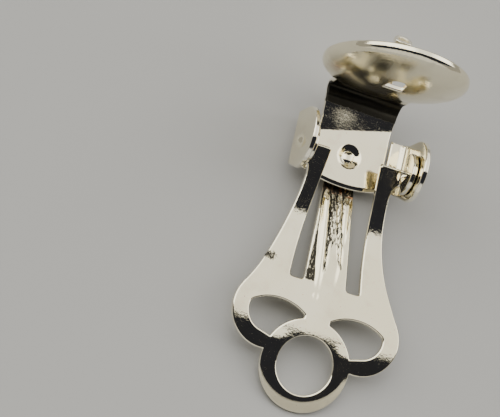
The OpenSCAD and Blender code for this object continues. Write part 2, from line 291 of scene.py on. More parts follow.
def circle_meeting(a, ra, b, rb):
    """The point at distance ra from a and rb from b, on the right of the way from a to b."""
    d = np.linalg.norm(b - a)
    k = (ra * ra - rb * rb + d * d) / (2 * d)
    along = (b - a) / d
    return a + k * along + math.sqrt(ra * ra - k * k) * np.array([along[1], -along[0]])


FLANK_C = circle_meeting(LOBE, FLANK_R + LOBE_R, FLANK_END, FLANK_R)
FLANK_LINE = math.degrees(math.atan2(*(FLANK_C - LOBE)[::-1]))
LUG_BEND_FROM = EAR_OUT - SHEET - LUG_GAP - SHEET - LUG_BEND_R
LUG_BEND_MID = LUG_BEND_R + SHEET / 2
LUG_UP_FROM = LUG_BEND_FROM + LUG_BEND_MID * math.pi / 2
LUG_CENTRE = np.array([LUG_UP_FROM - arm_side(PADDLE_LEN) - LUG_BEND_R, PADDLE_LEN])


def petal_depth(p):
    """Window in a lobe: a disc, run on inwards above a tangent at its lower end.

    It is cut off by a wide arc above, by the ring, and by a short side next to the middle line.
    """
    lower = LOBE + LOBE_IN * np.array([sind(PETAL_SLOPE), -cosd(PETAL_SLOPE)])
    left = both(side_of(p, lower, PETAL_SLOPE), side_of(p, LOBE, PETAL_SLOPE + 90))
    window = either(left, disc(p, LOBE, LOBE_IN))
    window = cut(window, -disc(p, PETAL_TOP, PETAL_TOP_R), PETAL_CORNER)
    window = cut(window, PETAL_IN - p[:, 0], PETAL_POINT)
    return cut(window, disc(p, (0, 0), RING_R), PETAL_CORNER)


def paddle_depth(q):
    """Trefoil, arms and lugs, less hole, petals and the gap between the arms, plus the tongue in it."""
    p = mirrored(q)
    x, y = p[:, 0], p[:, 1]
    arms = both(-disc(p, FLANK_C, FLANK_R), side_of(p, LOBE, FLANK_LINE))
    root = both(LUG_UP_FROM + LUG_OVERLAP - x, x - ARM_IN_END, y - PADDLE_LEN + LUG_ROOT)
    arms = both(blended(arms, root, LUG_FILLET), ARM_END - y)
    lug = both(disc(p, LUG_CENTRE, LUG_R), x - LUG_UP_FROM)
    trefoil = blended(disc(p, (0, 0), RING_R), disc(p, LOBE, LOBE_R), LOBE_CORNER)
    body = either(blended(trefoil, arms, SHARP), lug)
    body = cut(cut(body, disc(p, (0, 0), HOLE_R), HOLE_CORNER), petal_depth(p), SHARP)
    body = cut(body, cut(arm_inner(y) - x, TONGUE_ROOT - y, GAP_CORNER), SHARP)
    tongue = both(tongue_outer(y) - x, y - TONGUE_ROOT + OVERLAP)
    return blended(body, cut(tongue, y - TOE_END, TOE_CORNER), GAP_CORNER)


# Bead along the tongue: a narrow ridge with a small nose, then a crown that widens up the tongue
BEAD_FROM = 3.9
BEAD_TO = 10.7
BEAD_FADE_FROM = 10.2
BEAD_FADE = 0.8
RIDGE_H = 0.11
RIDGE_HALF = 0.16
RIDGE_GROWTH = 3.2
NOSE_AHEAD = 0.3
NOSE_R = 0.26
NOSE_LONG = 1.4
NOSE_H = 0.028
CROWN_H = 0.09
CROWN_HALF = 0.38
CROWN_WIDENS = 0.4
CROWN_SIDE = 0.3
CROWN_AHEAD = 0.6
CROWN_GROWTH = 2.4
GROOVE_GROWTH = 1.2
# Lines along the tongue: x at the level of its root, and how far it moves for each millimetre up
RIDGE_LINE = (-0.47, -0.035)
COLUMN_LINE = (-0.21, -0.02)
GROOVE_LINE = (0.99, -0.11)
SCORE_LINE = (0.82, -0.148)
# Grooves in the crown: line, half width, depth and where it starts
GROOVES = ((COLUMN_LINE, 0.14, 0.09, 5.4), (SCORE_LINE, 0.07, 0.05, 6.2), (GROOVE_LINE, 0.1, 0.09, 6.0))
# Hollow in each lobe
HOLLOW_AT = 2.3
HOLLOW_HALF = 0.75
HOLLOW_DEPTH = 0.055
HOLLOW_FROM = 0.9
HOLLOW_FADE_FROM = 1.9
HOLLOW_FADE = 3.0
# The end of the ring falls away outside a circle that is set a little up the paddle
RING_END_AT = (-0.2, 0.74)
RING_END_R = 2.92
RING_END_SLOPE = 12.0
RING_END_FROM = 0.4
RING_END_FADE = 0.8


def from_line(x, y, line):
    """Distance across the tongue from one of its lines."""
    return x - line[0] - line[1] * (y - TONGUE_ROOT)


def tongue_relief(x, y):
    """Bead along the tongue: bell curves across it for ridge and grooves, and a flat-topped crown."""
    along = np.clip((y - BEAD_FROM) / (BEAD_TO - BEAD_FROM), 0, 1)
    bell = np.exp(-(from_line(x, y, RIDGE_LINE) / RIDGE_HALF) ** 2)
    relief = RIDGE_H * bell * fading_in(y, BEAD_FROM, RIDGE_GROWTH)
    crown = 1 - fading_in(np.abs(x), CROWN_HALF + CROWN_WIDENS * along, CROWN_SIDE)
    relief = relief + CROWN_H * crown * fading_in(y, BEAD_FROM + CROWN_AHEAD, CROWN_GROWTH)
    nose = np.hypot(x - RIDGE_LINE[0], (y - BEAD_FROM - NOSE_AHEAD) / NOSE_LONG)
    relief = relief + dome(nose, NOSE_R, NOSE_H)
    for line, half, depth, start in GROOVES:
        groove = np.exp(-(from_line(x, y, line) / half) ** 2)
        relief = relief - depth * groove * fading_in(y, start, GROOVE_GROWTH)
    return relief * (1 - fading_in(y, BEAD_FADE_FROM, BEAD_FADE))


def lobe_relief(x, y):
    """Shallow hollow that starts where the ring runs into each lobe, and fades up the paddle."""
    across = np.exp(-((np.abs(x) - HOLLOW_AT) / HOLLOW_HALF) ** 2)
    up = fading_in(y, HOLLOW_FROM, 1) * (1 - fading_in(y, HOLLOW_FADE_FROM, HOLLOW_FADE))
    return -HOLLOW_DEPTH * across * up


def paddle_place(p):
    """Middle of the sheet: half a sheet below the side view of the inner face; the lugs bend up."""
    x, y = p[:, 0], p[:, 1]
    a = np.abs(x)
    is_tongue = (a < (arm_inner(y) + tongue_outer(y)) / 2) & (y > TONGUE_ROOT)
    angle = np.where(is_tongue, tongue_side.angle(y), arm_side.angle(y))
    height = np.where(is_tongue, tongue_side(y), arm_side(y))
    is_lug = (a > LUG_BEND_FROM) & (y > PADDLE_LEN - 2 * LUG_R)
    turn = np.clip((a - LUG_BEND_FROM) / LUG_BEND_MID, 0, math.pi / 2)
    out = np.where(is_lug, LUG_BEND_FROM + LUG_BEND_MID * np.sin(turn), a)
    out = out + dome(np.hypot(a - LUG_CENTRE[0], y - LUG_CENTRE[1]), PIVOT_R, PIVOT_H)
    rise = np.where(is_lug, LUG_BEND_MID * (1 - np.cos(turn)) + np.clip(a - LUG_UP_FROM, 0, None), 0)
    bead = np.where(is_tongue | (y < TONGUE_ROOT), tongue_relief(x, y), 0)
    below = SHEET / 2 - lobe_relief(x, y) - bead
    height = height - below * np.cos(angle) + rise
    return np.column_stack([np.sign(x) * out, y + below * np.sin(angle), height])


def paddle_to_row(p):
    return turned(p - np.array([0, PADDLE_LEN, 0]), PADDLE_TILT) + HINGE


# Front piece: its blank is centred on the cup, and v runs through the neck to the rear edge of the plate

FLOOR_BACK_R = (CUP_FLAT_R ** 2 + CUP_SAG ** 2) / (2 * CUP_SAG)
FLOOR_TOP = FLOOR_BACK_R - CUP_SAG
FLOOR_MID_R = FLOOR_BACK_R - SHEET / 2
RIM_WALL_R = CUP_R - RIM_T / 2


def floor_mid(r):
    return FLOOR_TOP - np.sqrt(FLOOR_MID_R ** 2 - r ** 2)


def rim_start():
    """Radius where the floor turns up, so that the wall ends at the rim's middle."""
    r = RIM_WALL_R - RIM_BEND_R
    for _ in range(20):
        r = RIM_WALL_R - RIM_BEND_R * (1 - r / FLOOR_MID_R)
    return r


RIM_FROM = rim_start()
RIM_SLOPE = math.asin(RIM_FROM / FLOOR_MID_R)
RIM_TURN = math.pi / 2 - RIM_SLOPE
RIM_WALL_FROM = RIM_FROM + RIM_BEND_R * RIM_TURN
RIM_BEND_TOP = floor_mid(RIM_FROM) + RIM_BEND_R * math.cos(RIM_SLOPE)
BLANK_R = RIM_WALL_FROM + RIM_H - RIM_BEND_TOP
TAB_FLAT_FROM = 3.95
TAB_EASE = 0.16
CUP_TO_BEND = CUP_GAP + CUP_R - NECK_BEND_R * (1 - sind(CUP_LEAN)) / cosd(CUP_LEAN)
NECK_MID = NECK_BEND_R + SHEET / 2
NECK_TURN = math.radians(90 - CUP_LEAN)
PLATE_FROM = CUP_TO_BEND + NECK_MID * NECK_TURN
BEND_Y = NECK_REACH - (CUP_GAP + CUP_R - CUP_TO_BEND)
CUP_UP = np.array([0, sind(CUP_LEAN), cosd(CUP_LEAN)])
CUP_AT = np.array([0, NECK_REACH, -AXIS_DROP]) + (CUP_GAP + CUP_R) * CUP_UP
EAR_BEND_FROM = EAR_OUT - SHEET - EAR_BEND_R
EAR_MID = EAR_BEND_R + SHEET / 2
EAR_UP_FROM = EAR_BEND_FROM + EAR_MID * math.pi / 2
PIVOT_CENTRE = np.array([EAR_UP_FROM + AXIS_DROP - EAR_BEND_R, PLATE_FROM + BEND_Y])
EAR_CENTRE = PIVOT_CENTRE + np.array([EAR_ABOVE, -EAR_AHEAD])
CAM_CENTRE = np.array([0, PIVOT_CENTRE[1] - CAM_R + CAM_BACK])
SHOULDER = EAR_CENTRE[1] - EAR_R
DIMPLE_CENTRE = np.array([0, PIVOT_CENTRE[1] - DIMPLE_AHEAD])


def slot_depth(p):
    """Slot that the peg was cut from: it narrows away from the neck and ends round."""
    share = (SLOT_NEAR - p[:, 1]) / (SLOT_NEAR - SLOT_FAR)
    half = SLOT_NEAR_HALF + share * (SLOT_FAR_HALF - SLOT_NEAR_HALF)
    long = both(half - p[:, 0], SLOT_NEAR - p[:, 1], p[:, 1] - SLOT_FAR)
    return either(long, disc(p, (0, SLOT_FAR), SLOT_FAR_HALF))


def neck_half(v):
    """Half the neck's width, which flares from the plate to the cup."""
    share = np.clip((v - CUP_TO_BEND) / (SHOULDER - CUP_TO_BEND), 0, 1)
    return NECK_TOP_HALF + share * (NECK_LOW_HALF - NECK_TOP_HALF)


def front_depth(q):
    """Cup's blank with its slot, two slits that free the rim beside the neck, neck, plate and ears."""
    p = mirrored(q)
    u, v = p[:, 0], p[:, 1]
    side = neck_half(v)
    neck = both(side - u, v, SHOULDER + OVERLAP - v)
    plate = both(disc(p, CAM_CENTRE, CAM_R), v - SHOULDER, EAR_UP_FROM - u)
    # The ear's rear side is a tangent from the end of the plate's rear edge
    corner = np.array([EAR_BEND_FROM, CAM_CENTRE[1] + math.sqrt(CAM_R ** 2 - EAR_BEND_FROM ** 2)])
    way = EAR_CENTRE - corner
    lift = math.degrees(math.atan2(way[1], way[0]) + math.asin(EAR_R / np.linalg.norm(way)))
    beside = both(EAR_R - np.abs(v - EAR_CENTRE[1]), -side_of(p, corner, lift))
    ear = both(beside, EAR_CENTRE[0] - u, u - EAR_OVERLAP_TO)
    ear = either(ear, disc(p, EAR_CENTRE, EAR_R))
    bracket = blended(either(plate, ear), neck, NECK_FILLET)
    cup = cut(BLANK_R - np.hypot(u, v), slot_depth(p), SLOT_CORNER)
    neck = cut(neck, slot_depth(p), SLOT_CORNER)
    slit = both(SLIT / 2 - np.abs(u - side - SLIT / 2), v - SLIT_FROM)
    return cut(either(cup, neck, bracket), slit, SLIT_CORNER)


def on_tab(p):
    """The root of the neck, between the two slits, which isn't turned up with the rim."""
    return (np.abs(p[:, 0]) < neck_half(p[:, 1]) + SLIT / 2) & (p[:, 1] > SLIT_FROM)


def neck_rise(x, y):
    """Height over the plate, at y from the hinge axis: a hyperbola rounds the start of the slope."""
    beyond = y - NECK_RISES_AT - NECK_SKEW * np.clip(x, -NECK_SKEW_TO, NECK_SKEW_TO)
    return math.tan(math.radians(NECK_SLOPE)) * (np.hypot(beyond, NECK_RISE_ROUND) + beyond) / 2


def plate_dimple(r):
    """Round recess pressed down into the plate: a steep wall and a slightly domed bottom."""
    wall = 1 - fading_in(r, DIMPLE_FLAT_R, DIMPLE_R - DIMPLE_FLAT_R)
    return DIMPLE_DOME * np.clip(1 - (r / DIMPLE_FLAT_R) ** 2, 0, None) - DIMPLE_H * wall


def front_place(p):
    """Middle of the sheet: dished floor, rim turned up, neck turned back, plate, and ears turned up."""
    u, v = p[:, 0], p[:, 1]
    a, s = np.abs(u), np.hypot(u, v)
    # Cup, front side up
    turn = np.clip((s - RIM_FROM) / RIM_BEND_R, 0, RIM_TURN)
    angle = RIM_SLOPE + turn
    wall = np.clip(s - RIM_WALL_FROM, 0, None)
    r = np.where(s < RIM_FROM, s, RIM_FROM + RIM_BEND_R * (np.sin(angle) - math.sin(RIM_SLOPE)))
    z = np.where(s < RIM_FROM, floor_mid(np.minimum(s, RIM_FROM)),
                 floor_mid(RIM_FROM) + RIM_BEND_R * (math.cos(RIM_SLOPE) - np.cos(angle)) + wall)
    shrink = r / np.maximum(s, 1e-9)
    cup = np.column_stack([u * shrink, v * shrink, z])
    # Flat end of the neck, where the floor's slope fades out
    flat_from = floor_mid(TAB_FLAT_FROM)
    fade = TAB_FLAT_FROM / math.sqrt(FLOOR_MID_R ** 2 - TAB_FLAT_FROM ** 2) * TAB_EASE
    tab_z = np.where(s < TAB_FLAT_FROM, floor_mid(np.minimum(s, TAB_FLAT_FROM)),
                     flat_from + fade * (1 - np.exp(-np.clip(s - TAB_FLAT_FROM, 0, None) / TAB_EASE)))
    level = SHEET / 2 - flat_from - fade
    tab_z = tab_z + level * fading_in(v, TAB_FLAT_FROM, CUP_TO_BEND - TAB_FLAT_FROM)
    tab = np.column_stack([u, v, tab_z])
    # Bend of the neck
    psi = np.clip((v - CUP_TO_BEND) / NECK_MID, 0, NECK_TURN)
    lift = neck_rise(u, BEND_Y) * fading_in(psi, 0, NECK_TURN * NECK_RISE_SHARE)
    bend = np.column_stack([u, CUP_TO_BEND + (NECK_MID - lift) * np.sin(psi),
                            (NECK_MID - lift) * np.cos(psi) - NECK_BEND_R])
    local = np.where((v < CUP_TO_BEND)[:, None], np.where(on_tab(p)[:, None], tab, cup), bend)
    local = turned(local, -90 - CUP_LEAN) + CUP_AT
    # Plate and ears
    psi = np.clip((a - EAR_BEND_FROM) / EAR_MID, 0, math.pi / 2)
    out = np.where(a > EAR_BEND_FROM, EAR_BEND_FROM + EAR_MID * np.sin(psi), a)
    out = out + dome(np.hypot(a - PIVOT_CENTRE[0], v - PIVOT_CENTRE[1]), PIVOT_R + PIVOT_PLAY, PIVOT_H)
    rise = EAR_MID * (1 - np.cos(psi)) + np.clip(a - EAR_UP_FROM, 0, None)
    y = BEND_Y - (v - PLATE_FROM)
    relief = plate_dimple(np.hypot(a, v - DIMPLE_CENTRE[1])) + neck_rise(u, y) * (a < EAR_BEND_FROM)
    plate = np.column_stack([np.sign(u) * out, y, rise + relief - AXIS_DROP - SHEET / 2])
    return np.where((v < PLATE_FROM)[:, None], local, plate)


def front_to_row(p):
    return turned(p, FRONT_TILT) + HINGE


def front_outer(p):
    """Thickness from the middle of the sheet to its outer face, which thins in the rim."""
    thin = smooth_step((np.hypot(p[:, 0], p[:, 1]) - RIM_FROM) / RIM_BEND_R + 0.5)
    is_rim = (p[:, 1] < CUP_TO_BEND) & ~on_tab(p)
    return SHEET / 2 - (SHEET - RIM_T) / 2 * np.where(is_rim, thin, 0)


def front_inner(p):
    """The same to the inner face, which is rounded over at the rear edge of the plate."""
    d = np.clip(disc(p, CAM_CENTRE, CAM_R), 0, CAM_ROUND)
    drop = CAM_ROUND - np.sqrt(CAM_ROUND ** 2 - (CAM_ROUND - d) ** 2)
    at_rear = (p[:, 1] > DIMPLE_CENTRE[1]) & (np.abs(p[:, 0]) < EAR_BEND_FROM + CAM_ROUND_PAST)
    return front_outer(p) - np.where(at_rear, CAM_ROUND_DEEP * drop, 0)


def paddle_inner(p):
    """Thickness from the middle of the sheet to its inner face, which falls away at the end of the ring."""
    beyond = np.clip(-disc(p, RING_END_AT, RING_END_R), 0, None)
    beyond = beyond * fading_in(-p[:, 1], -RING_END_FROM, RING_END_FADE)
    return SHEET / 2 - beyond * math.tan(math.radians(RING_END_SLOPE))


def paddle_outer(p):
    return np.full(len(p), SHEET / 2)


# Meshes

def add_mesh(name, vertices, faces, normals, body, to_row, material, marks):
    """A mesh object in metres in the row frame, shaded with the normals of its formula."""
    mesh = bpy.data.meshes.new(name)
    tris = [f for f in faces if f.shape[1] == 3]
    quads = [f for f in faces if f.shape[1] == 4]
    loops = np.concatenate([f.ravel() for f in tris + quads]).astype(np.int32)
    sizes = np.concatenate([np.full(len(f), f.shape[1]) for f in tris + quads]).astype(np.int32)
    starts = np.concatenate([[0], np.cumsum(sizes)[:-1]]).astype(np.int32)
    mesh.vertices.add(len(vertices))
    mesh.loops.add(len(loops))
    mesh.polygons.add(len(sizes))
    row = to_row(vertices)
    row_normals = unit(to_row(vertices + normals) - row)
    mesh.vertices.foreach_set("co", (row * MM).astype(np.float32).ravel())
    mesh.loops.foreach_set("vertex_index", loops)
    mesh.polygons.foreach_set("loop_start", starts)
    mesh.polygons.foreach_set("loop_total", sizes)
    mesh.polygons.foreach_set("use_smooth", np.ones(len(sizes), bool))
    for label, values in marks.items():
        attribute = mesh.attributes.new(label, "FLOAT", "POINT")
        attribute.data.foreach_set("value", values.astype(np.float32))
    mesh.update(calc_edges=True)
    mesh.validate()
    mesh.normals_split_custom_set_from_vertices(row_normals.astype(np.float32))
    mesh.materials.append(material)
    piece = bpy.data.objects.new(name, mesh)
    bpy.context.scene.collection.objects.link(piece)
    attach(piece, body)
    return piece


# How often grid nodes and ring points are moved onto the edge, and how far a ring point may move
SNAP_PASSES = 3
RING_PASSES = 2
RING_SNAP = 0.05
# A triangle whose nodes are all on the edge is kept where its middle is inside by this part of a step
SLIVER = 0.08
EDGE_TURNS = np.radians([22.5, 45, 67.5, 90])
PROBE = 0.01


def gradient(depth, p, step=PROBE):
    """Unit direction in the blank in which a depth grows."""
    du, dv = np.array([step, 0]), np.array([0, step])
    g = np.column_stack([depth(p + du) - depth(p - du), depth(p + dv) - depth(p - dv)])
    return unit(g)


def facing(surface, p, step=0.012):
    """Unit normal of a surface: the cross product of its two slopes."""
    du, dv = np.array([step, 0]), np.array([0, step])
    return unit(np.cross(surface(p + du) - surface(p - du), surface(p + dv) - surface(p - dv)))


def blank_triangles(depth, low, high, step):
    """Flat part of a blank inside its rounded edge: a square grid, with near nodes moved onto the edge.

    Returns the nodes that are used, the triangles between them, and the triangles' free sides.
    """
    us, vs = np.arange(low[0], high[0], step), np.arange(low[1], high[1], step)
    grid = np.stack(np.meshgrid(us, vs, indexing="ij"), -1).reshape(-1, 2)
    inset = depth(grid) - EDGE
    near = np.abs(inset) < step / 2
    state = np.where(near, 0, np.sign(inset)).astype(int)
    for _ in range(SNAP_PASSES):
        at = grid[near]
        grid[near] = at - (depth(at) - EDGE)[:, None] * gradient(depth, at)
    n = len(vs)
    i = (np.arange(len(us) - 1)[:, None] * n + np.arange(n - 1)).ravel()
    a, b, c, d = i, i + n, i + n + 1, i + 1
    crossing = state[a] * state[c] < 0
    first = np.where(crossing[:, None], np.column_stack([a, b, d]), np.column_stack([a, b, c]))
    second = np.where(crossing[:, None], np.column_stack([b, c, d]), np.column_stack([a, c, d]))
    tris = np.vstack([first, second])
    found = state[tris]
    inside = (found.min(1) >= 0) & (found.max(1) > 0)
    flat = np.flatnonzero((found == 0).all(1))
    inside[flat] = depth(grid[tris[flat]].mean(1)) - EDGE > SLIVER * step
    tris = tris[inside]
    used, tris = np.unique(tris, return_inverse=True)
    tris = tris.reshape(-1, 3)
    sides = np.vstack([tris[:, [0, 1]], tris[:, [1, 2]], tris[:, [2, 0]]])
    count = len(used)
    key, back = sides[:, 0] * count + sides[:, 1], sides[:, 1] * count + sides[:, 0]
    return grid[used], tris, sides[~np.isin(key, back)]


def stamping(name, body, depth, place, upper, lower, grid, to_row, material, marks):
    """A closed sheet: the formed upper and lower faces of a blank, joined by rings of a rounded edge.

    Upper and lower give how far each face lies from the middle. A ring at a turn t of the edge is
    moved out by EDGE sin t, and in towards the middle by EDGE (1 - cos t).
    """
    flat, tris, sides = blank_triangles(depth, *grid)

    def face(sign, share):
        far = upper if sign > 0 else lower

        def surface(p):
            return place(p) + sign * facing(place, p) * (share * far(p))[:, None]
        return surface

    top, bottom = face(1, 1.0), face(-1, 1.0)
    rim = np.unique(sides)
    index = np.full(len(flat), -1)
    index[rim] = np.arange(len(rim))
    outward = -gradient(depth, flat[rim])
    parts, blanks = [top(flat), bottom(flat)], [flat, flat]
    normals = [facing(top, flat), -facing(bottom, flat)]
    sheet_sides = [np.ones(len(flat)), -np.ones(len(flat))]
    rings = []
    base = 2 * len(flat)
    squeeze = EDGE / (SHEET / 2)
    for sign, turns in ((1, EDGE_TURNS), (-1, EDGE_TURNS[::-1])):
        for t in turns:
            q = flat[rim] + EDGE * math.sin(t) * outward
            for _ in range(RING_PASSES):
                off = depth(q) - EDGE * (1 - math.sin(t))
                q = q - np.clip(off, -RING_SNAP, RING_SNAP)[:, None] * gradient(depth, q)
            at = face(sign, 1 - squeeze * (1 - math.cos(t)))(q)
            inward = PROBE * gradient(depth, q)
            out = unit(place(q - inward) - place(q + inward))
            normals.append(unit(math.sin(t) * out + sign * math.cos(t) * facing(place, q)))
            parts.append(at)
            blanks.append(q)
            sheet_sides.append(np.full(len(q), float(sign)))
            rings.append(base + index)
            base += len(rim)
    loops = [np.arange(len(flat)), *rings, len(flat) + np.arange(len(flat))]
    quads = [np.column_stack([a[sides[:, 1]], a[sides[:, 0]], b[sides[:, 0]], b[sides[:, 1]]])
             for a, b in zip(loops, loops[1:])]
    faces = [tris, tris[:, ::-1] + len(flat), *quads]
    blank, side = np.vstack(blanks), np.concatenate(sheet_sides)
    values = {label: function(blank, side) for label, function in marks.items()}
    values["edge"] = np.clip(1 - depth(blank) / EDGE, 0, 1)
    vertices, normals = np.vstack(parts), np.vstack(normals)
    return add_mesh(name, vertices, faces, normals, body, to_row, material, values)


def loft(name, rings, body, to_row, material, marks):
    """A closed skin over rings of points (rings, points, 3), with a pole in the first and the last."""
    count, around = rings.shape[:2]
    vertices = np.vstack([rings.reshape(-1, 3), rings[0].mean(0), rings[-1].mean(0)])
    i, j = np.meshgrid(np.arange(count - 1), np.arange(around), indexing="ij")
    a, b = i * around + j, i * around + (j + 1) % around
    quads = np.stack([a, b, b + around, a + around], -1).reshape(-1, 4)
    k = np.arange(around)
    pole, last = count * around, (count - 1) * around
    first = np.column_stack([np.full(around, pole), (k + 1) % around, k])
    end = np.column_stack([np.full(around, pole + 1), last + k, last + (k + 1) % around])
    along = np.gradient(rings, axis=0)
    about = (np.roll(rings, -1, 1) - np.roll(rings, 1, 1)) / 2
    normals = unit(np.cross(about, along)).reshape(-1, 3)
    normals = np.vstack([normals, unit(normals[:around].mean(0)), unit(normals[-around:].mean(0))])
    values = {label: np.concatenate([v.ravel(), v[0, :1], v[-1, :1]]) for label, v in marks.items()}
    faces = [quads, first, end]
    return add_mesh(name, vertices, faces, normals, body, to_row, material, values)


# Rolled peg

PEG_BEND_R = 0.55
PEG_BORE_FROM = 0.1
PEG_BORE_DEPTH = 2.2
PEG_BORE_END_R = 0.02
# Foot, as parts of the slot's half width and of the sheet
FOOT_WIDE = 0.96
FOOT_HIGH = 0.46
# Parts of the length in which the foot narrows, and in which the round part grows
NARROWS_OVER = 0.34
GROWS_FROM = 0.02
GROWS_OVER = 0.4
# Lower half: its depth as part of the radius, and the powers that square it off
UNDER_DEPTH = 0.62
UNDER_POWER = 0.55
SIDE_POWER = 0.8
SEAM_DEPTH = 0.07
SEAM_HALF = 0.16
# Lip: its start in head heights, its shape, and the wall that the rings turn over
LIP_FROM = 1.6
LIP_POWER = 1.5
LIP_UNDER = 0.7
LIP_ROUND = 0.05
WALL_TURN = 1.3
WALL_UNDER = 0.8
# Rings: shaft up to a part of the length, then head, lip and bore
SHAFT_SHARE = 0.93
HEAD_SHARE = 0.8
SHAFT_RINGS, HEAD_RINGS, LIP_RINGS, BORE_RINGS = 60, 14, 12, 20


def peg_rings(around=96):
    """Peg as rings in the cup's frame: its path lies along the floor, bends up, and goes on straight.

    A ring at length t has a half width, a height over the path and a flatter depth under it. It is
    (w cos a, h sin a or d sin a), where the lower half is squared off by a root of its sine, less the
    seam's groove. Past the tip the rings turn over the lip and go back down the bore to its bottom.
    """
    rise = math.radians(PEG_ANGLE)
    bend = PEG_BEND_R * rise
    length = PEG_LEN + bend
    outer_t = np.concatenate([np.linspace(0, SHAFT_SHARE, SHAFT_RINGS) * length,
                              length - PEG_HEAD_H * np.linspace(HEAD_SHARE, 0, HEAD_RINGS)])
    over = np.linspace(0, np.pi, LIP_RINGS)[1:]
    bore_t = np.linspace(length - PEG_BORE_FROM, length - PEG_BORE_DEPTH, BORE_RINGS)
    t = np.concatenate([outer_t, length + LIP_ROUND * np.sin(over), bore_t])
    turn = np.clip(t / PEG_BEND_R, 0, rise)
    straight = np.clip(t - bend, 0, None)
    path_v = PEG_ROOT - PEG_BEND_R * np.sin(turn) - straight * math.cos(rise)
    path_z = floor_mid(PEG_ROOT) + PEG_BEND_R * (1 - np.cos(turn)) + straight * math.sin(rise)
    grown = fading_in(t / length, GROWS_FROM, GROWS_OVER)
    taper = PEG_ROOT_R + (PEG_TIP_R - PEG_ROOT_R) * np.clip(t / length, 0, 1)
    lip = fading_in(t, length - PEG_HEAD_H * LIP_FROM, PEG_HEAD_H) ** LIP_POWER * (PEG_HEAD_R - PEG_TIP_R)
    thick = np.zeros(len(t))
    turn_from, bore_from = len(outer_t), len(outer_t) + len(over)
    thick[turn_from:bore_from] = PEG_WALL * (1 - np.cos(over)) / 2 * WALL_TURN
    thick[bore_from:] = PEG_WALL * WALL_TURN
    foot, sole = SLOT_NEAR_HALF * FOOT_WIDE, SHEET * FOOT_HIGH
    wide = foot + (taper - foot) * fading_in(t / length, 0, NARROWS_OVER) + lip - thick
    high = sole + (taper - sole) * grown + lip - thick
    deep = sole + (taper * UNDER_DEPTH - sole) * grown + lip * LIP_UNDER - thick * WALL_UNDER
    wide[-1] = high[-1] = deep[-1] = PEG_BORE_END_R
    a = np.linspace(0, 2 * np.pi, around, endpoint=False)[None, :]
    sine = np.sin(a)
    seam = SEAM_DEPTH * np.exp(-((a - 1.5 * np.pi) / SEAM_HALF) ** 2) * (grown * (thick == 0))[:, None]
    x = wide[:, None] * np.sign(np.cos(a)) * np.abs(np.cos(a)) ** np.where(sine < 0, SIDE_POWER, 1)
    under = -(deep[:, None] - seam) * np.abs(sine) ** UNDER_POWER
    up = np.where(sine < 0, under, high[:, None] * sine)
    up_v, up_z = np.sin(turn)[:, None], np.cos(turn)[:, None]
    rings = np.stack([x, path_v[:, None] + up * up_v, path_z[:, None] + up * up_z], -1)
    share = (t / length)[:, None] + 0 * a
    hollow = (thick / PEG_WALL)[:, None] + 0 * a
    return rings[:, ::-1], share, hollow


def cup_to_row(p):
    return front_to_row(turned(p, -90 - CUP_LEAN) + CUP_AT)


# Finishes

def node(tree, kind, inputs=None, **settings):
    """A shader node whose inputs are set to values, or linked to another node's output."""
    made = tree.nodes.new(kind)
    for key, value in settings.items():
        setattr(made, key, value)
    for key, value in (inputs or {}).items():
        if isinstance(value, bpy.types.NodeSocket):
            tree.links.new(value, made.inputs[key])
        else:
            made.inputs[key].default_value = value
    return made


def calc(tree, operation, a, b=0.5, c=0.5):
    return node(tree, "ShaderNodeMath", {0: a, 1: b, 2: c}, operation=operation).outputs[0]


def times(tree, a, b):
    return calc(tree, "MULTIPLY", a, b)


def plus(tree, a, b):
    return calc(tree, "ADD", a, b)


def larger(tree, a, b):
    return calc(tree, "MAXIMUM", a, b)


def ramp(tree, value, low, high, to_low=0.0, to_high=1.0):
    """A value mapped smoothly from one range to another, and held at its ends."""
    keys = {"Value": value, "From Min": low, "From Max": high, "To Min": to_low, "To Max": to_high}
    return node(tree, "ShaderNodeMapRange", keys, interpolation_type="SMOOTHSTEP").outputs[0]


def tinted(tree, factor, a, b):
    made = node(tree, "ShaderNodeMix", {"Factor": factor}, data_type="RGBA")
    for socket, value in ((made.inputs[6], a), (made.inputs[7], b)):
        if isinstance(value, bpy.types.NodeSocket):
            tree.links.new(value, socket)
        else:
            socket.default_value = (*value, 1)
    return made.outputs[2]


def speckle(tree, place, scale, detail=3.0, stretch=(1, 1, 1), roughness=0.55):
    """Noise over the object's own coordinates: its cells to the metre, times a factor on each axis."""
    mapped = node(tree, "ShaderNodeMapping", {"Vector": place, "Scale": stretch}).outputs[0]
    return node(tree, "ShaderNodeTexNoise",
                {"Vector": mapped, "Scale": scale, "Detail": detail, "Roughness": roughness}).outputs[0]


def spots(tree, place, kind):
    """Noise turned into spots: 0 up to a low value, 1 from a high one."""
    noise, low, high = kind
    return ramp(tree, speckle(tree, place, *noise), low, high)


def marked(tree, name):
    return node(tree, "ShaderNodeAttribute", attribute_name=name).outputs["Fac"]


def new_group(name, inputs, outputs):
    group = bpy.data.node_groups.new(name, "ShaderNodeTree")
    for label, kind in inputs:
        group.interface.new_socket(label, in_out="INPUT", socket_type=kind)
    for label, kind in outputs:
        group.interface.new_socket(label, in_out="OUTPUT", socket_type=kind)
    return group, group.nodes.new("NodeGroupInput").outputs, group.nodes.new("NodeGroupOutput").inputs


# Noises: cells to the metre, detail, and for some a stretch and a roughness
RUBBED = (1500, 5, (1, 9, 1), 0.7)
CROSSED = (1300, 5, (8, 1, 2), 0.7)
WAVES = (420, 2)
GRAIN = (6500, 2)
STREAKY = (7500, 4, (1.3, 0.33, 1), 0.75)
FROST = (9000, 3)
